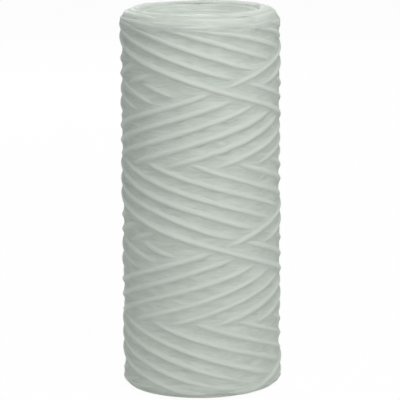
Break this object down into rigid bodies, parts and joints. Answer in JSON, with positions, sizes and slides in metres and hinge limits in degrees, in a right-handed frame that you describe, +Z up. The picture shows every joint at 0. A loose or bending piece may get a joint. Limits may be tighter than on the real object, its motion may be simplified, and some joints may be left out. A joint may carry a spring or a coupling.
{
  "type": "sediment filter cartridge",
  "caption": "String-wound sediment filter cartridge: a white yarn cylinder cross-wound on a perforated core tube, with rounded shoulders and dished ends.",
  "frame": {"origin": "middle of the resting face, on the axis of the cartridge", "axes": "+Z up along the axis of the cartridge, -Y towards the viewer, +X to the viewer's right"},
  "size_m": [0.11, 0.11, 0.262],
  "materials": {
    "yarn": "soft white spun polypropylene roving",
    "core": "natural moulded polypropylene"
  },
  "bodies": {
    "root": {"core_tube": "core", "yarn_winding": "yarn"}
  },
  "joints": []
}
